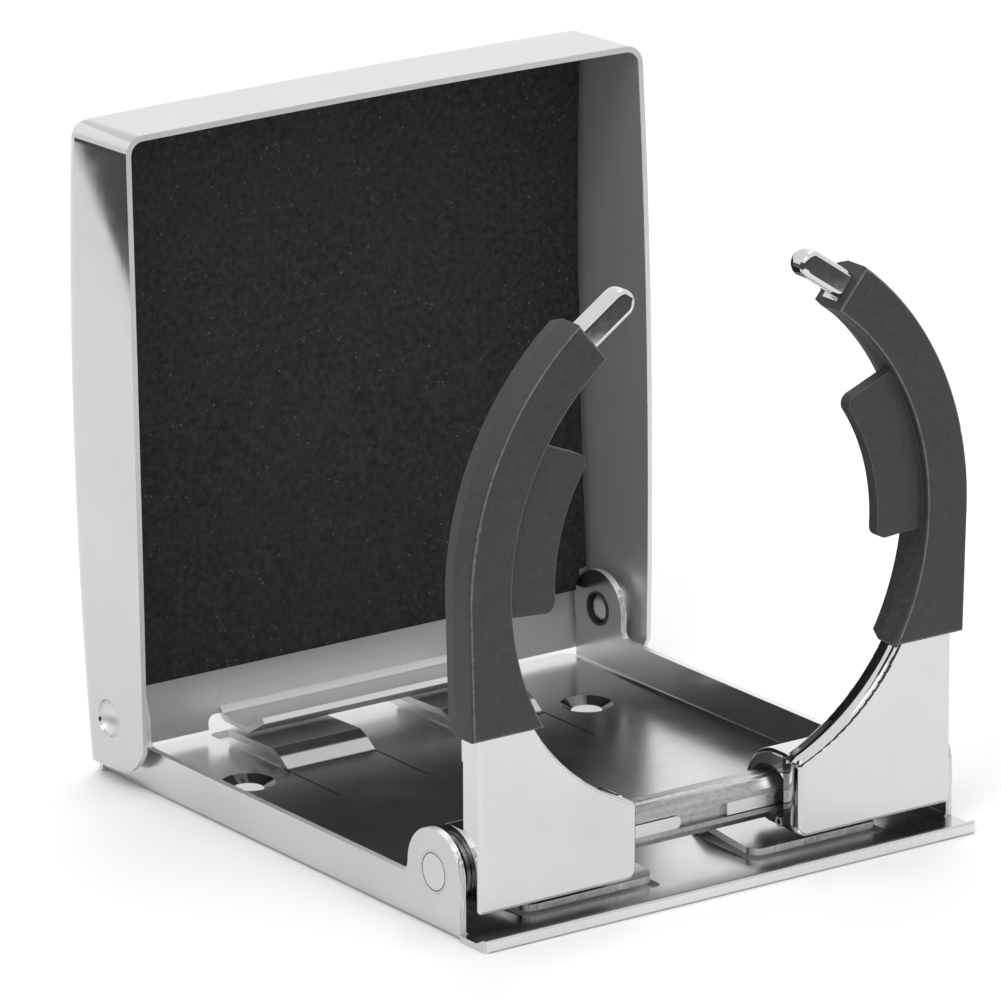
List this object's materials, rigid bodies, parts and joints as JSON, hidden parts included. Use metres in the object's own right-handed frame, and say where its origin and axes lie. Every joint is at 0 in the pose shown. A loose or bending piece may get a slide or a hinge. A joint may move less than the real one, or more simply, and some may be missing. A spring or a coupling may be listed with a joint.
{
  "type": "folding cup holder",
  "caption": "Screw-on folding cup holder: pressed stainless base tray, hinged padded cover, and two rubber-gripped ring arms that fold down and slide together on a cross shaft.",
  "frame": {"origin": "middle of the base plate's flat underside, which lies against the surface it is screwed to", "axes": "+X along the two hinge lines, +Y from the arm shaft to the cover pivots, +Z out of the mounting surface; cover open and arms upright at rest"},
  "size_m": [0.1078, 0.1185, 0.1162],
  "materials": {
    "satin_stainless": "satin rolled stainless sheet with bright sheared edges",
    "polished_stainless": "mirror-polished stainless sheet",
    "plated_steel": "dull plated steel bar with rough facets",
    "strip_steel": "bright drawn spring steel",
    "chromed_casting": "bright plated casting, slightly wavy",
    "closed_cell_foam": "matte black closed-cell foam with fine pores",
    "adhesive_film": "thin adhesive film",
    "black_rubber": "matte moulded rubber",
    "bearing_plastic": "black moulded bearing plastic"
  },
  "bodies": {
    "base": {"base_plate": "satin_stainless"},
    "pivot": {"left_pivot_bush": "bearing_plastic", "right_pivot_bush": "bearing_plastic"},
    "cover": {"cover_shell": "polished_stainless", "pad_adhesive": "adhesive_film", "foam_pad": "closed_cell_foam"},
    "carrier": {"arm_shaft": "plated_steel", "left_friction_strip": "strip_steel", "right_friction_strip": "strip_steel", "left_shaft_washer": "plated_steel", "right_shaft_washer": "plated_steel"},
    "arm_left": {"left_arm": "chromed_casting", "left_grip": "black_rubber", "left_slide_bush": "bearing_plastic", "left_roll_pin": "strip_steel"},
    "arm_right": {"right_arm": "chromed_casting", "right_grip": "black_rubber", "right_slide_bush": "bearing_plastic", "right_roll_pin": "strip_steel"}
  },
  "joints": [
    {"name": "bush_turn", "type": "hinge", "parent": "base", "child": "pivot", "pos_m": [0, 0.048, 0.0119], "axis": [1, 0, 0], "range_deg": [0, 45.1]},
    {"name": "cover_fold", "type": "hinge", "parent": "pivot", "child": "cover", "pos_m": [0, 0.048, 0.0119], "axis": [1, 0, 0], "range_deg": [0, 45.1], "deforming": ["foam_pad"]},
    {"name": "arms_fold", "type": "hinge", "parent": "base", "child": "carrier", "pos_m": [0, -0.0442, 0.0101], "axis": [-1, 0, 0], "range_deg": [0, 92.5]},
    {"name": "left_arm_slide", "type": "slide", "parent": "carrier", "child": "arm_left", "axis": [1, 0, 0], "range_m": [0, 0.012]},
    {"name": "right_arm_slide", "type": "slide", "parent": "carrier", "child": "arm_right", "axis": [-1, 0, 0], "range_m": [0, 0.012]}
  ]
}
